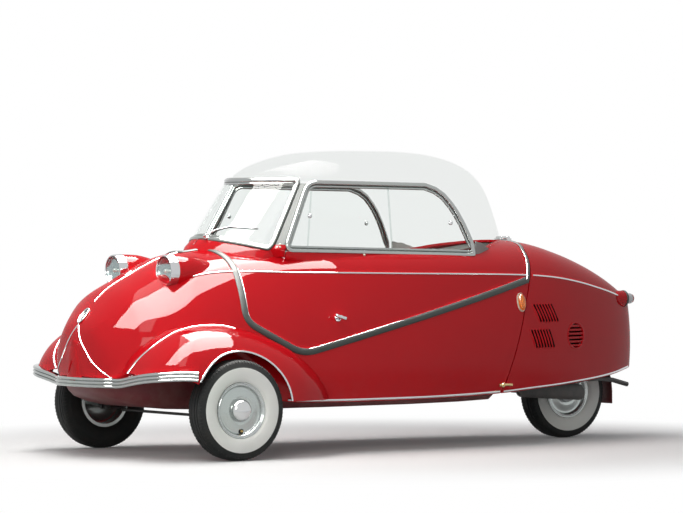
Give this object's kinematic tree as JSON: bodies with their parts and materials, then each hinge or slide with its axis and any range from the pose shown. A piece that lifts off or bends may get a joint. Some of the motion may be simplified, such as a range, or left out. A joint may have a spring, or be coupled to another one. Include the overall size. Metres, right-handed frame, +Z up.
{
  "type": "three-wheeled bubble car",
  "caption": "Small three-wheeled tandem car with a clear domed canopy that tilts sideways, faired front wheels and a hinged tail over one rear wheel.",
  "frame": {"origin": "on the ground, below the middle of the car's length and width", "axes": "+Z up, -Y to the nose, +X to the car's left side"},
  "size_m": [1.2228, 2.8074, 1.251],
  "materials": {
    "red_paint": "glossy red body paint",
    "dark_red_paint": "dull dark red underside paint",
    "aluminium": "satin trim",
    "chrome": "polished",
    "clear_glass": "clear",
    "rubber": "matt",
    "black_metal": "satin black",
    "grey_trim": "matt",
    "orange_lens": "glossy lens",
    "seat_cloth": "woven"
  },
  "bodies": {
    "root": {"body_shell": "red_paint", "floor_pan": "dark_red_paint", "fender_left": "red_paint", "fender_right": "red_paint", "front_moulding": "aluminium", "headlamp_left": "red_paint", "headlamp_right": "red_paint", "headlamp_lens_left": "clear_glass", "headlamp_lens_right": "clear_glass", "turn_lamp_left": "orange_lens", "turn_lamp_right": "orange_lens", "rear_bulkhead": "grey_trim", "dashboard": "grey_trim", "front_seat_base": "black_metal", "front_seat_cushion": "seat_cloth", "front_seat_back": "seat_cloth", "rear_seat_cushion": "seat_cloth", "rear_seat_back": "seat_cloth", "steering_column": "black_metal", "pedals": "black_metal", "rear_subframe": "black_metal", "engine_block": "black_metal", "rear_fork": "black_metal", "chain_case": "black_metal", "rear_wheel_guard": "dark_red_paint", "exhaust": "black_metal", "canopy_hinge_body": "chrome", "tail_hinge_body": "chrome", "suspension_arm_left": "black_metal", "suspension_arm_right": "black_metal"},
    "canopy": {"canopy_panel": "red_paint", "scuttle": "red_paint", "windscreen_frame": "aluminium", "windscreen_glass": "clear_glass", "side_frame_left": "aluminium", "side_frame_right": "aluminium", "side_glass_left": "clear_glass", "side_glass_right": "clear_glass", "pillar_left": "red_paint", "pillar_right": "red_paint", "roof_dome": "clear_glass", "rear_shelf": "grey_trim", "door_handle": "chrome", "canopy_hinge_leaf": "chrome"},
    "tail": {"tail_cover": "red_paint", "tail_lamp_left": "black_metal", "tail_lamp_right": "black_metal", "tail_hinge_leaf": "chrome"},
    "steer_left": {"knuckle_left": "black_metal"},
    "steer_right": {"knuckle_right": "black_metal"},
    "track_link": {"track_rod": "black_metal"},
    "wheel_left": {"tyre_front_left": "rubber", "rim_front_left": "chrome"},
    "wheel_right": {"tyre_front_right": "rubber", "rim_front_right": "chrome"},
    "wheel_rear": {"tyre_rear": "rubber", "rim_rear": "chrome"},
    "handlebar": {"steering_bar": "black_metal"}
  },
  "joints": [
    {"name": "canopy_hinge", "type": "hinge", "parent": "root", "child": "canopy", "pos_m": [-0.426, -0.0518, 0.742], "axis": [0, -1, 0], "range_deg": [0, 75]},
    {"name": "tail_hinge", "type": "hinge", "parent": "root", "child": "tail", "pos_m": [0, 0.74498, 0.8771], "axis": [1, 0, 0], "range_deg": [0, 50]},
    {"name": "steer_left", "type": "hinge", "parent": "root", "child": "steer_left", "pos_m": [0.484, -0.9653, 0.2015], "axis": [0, 0, 1], "range_deg": [-27, 27]},
    {"name": "steer_right", "type": "hinge", "parent": "root", "child": "steer_right", "pos_m": [-0.484, -0.9653, 0.2015], "axis": [0, 0, 1], "range_deg": [-27, 27]},
    {"name": "track_rod_joint", "type": "hinge", "parent": "steer_left", "child": "track_link", "pos_m": [0.484, -0.8803, 0.165], "axis": [0, 0, 1], "range_deg": [-27, 27]},
    {"name": "handlebar_turn", "type": "hinge", "parent": "root", "child": "handlebar", "pos_m": [0, -0.5053, 0.68], "axis": [0, 0.7071, 0.7071], "range_deg": [-27, 27]},
    {"name": "spin_front_left", "type": "hinge", "parent": "steer_left", "child": "wheel_left", "pos_m": [0.54, -0.9653, 0.2015], "axis": [1, 0, 0], "continuous": true},
    {"name": "spin_front_right", "type": "hinge", "parent": "steer_right", "child": "wheel_right", "pos_m": [-0.54, -0.9653, 0.2015], "axis": [1, 0, 0], "continuous": true},
    {"name": "spin_rear", "type": "hinge", "parent": "root", "child": "wheel_rear", "pos_m": [0, 1.0647, 0.2015], "axis": [1, 0, 0], "continuous": true}
  ],
  "couplings": [
    {"joint": "steer_right", "follows": "steer_left", "ratio": 1},
    {"joint": "track_rod_joint", "follows": "steer_left", "ratio": -1},
    {"joint": "handlebar_turn", "follows": "steer_left", "ratio": 1}
  ]
}
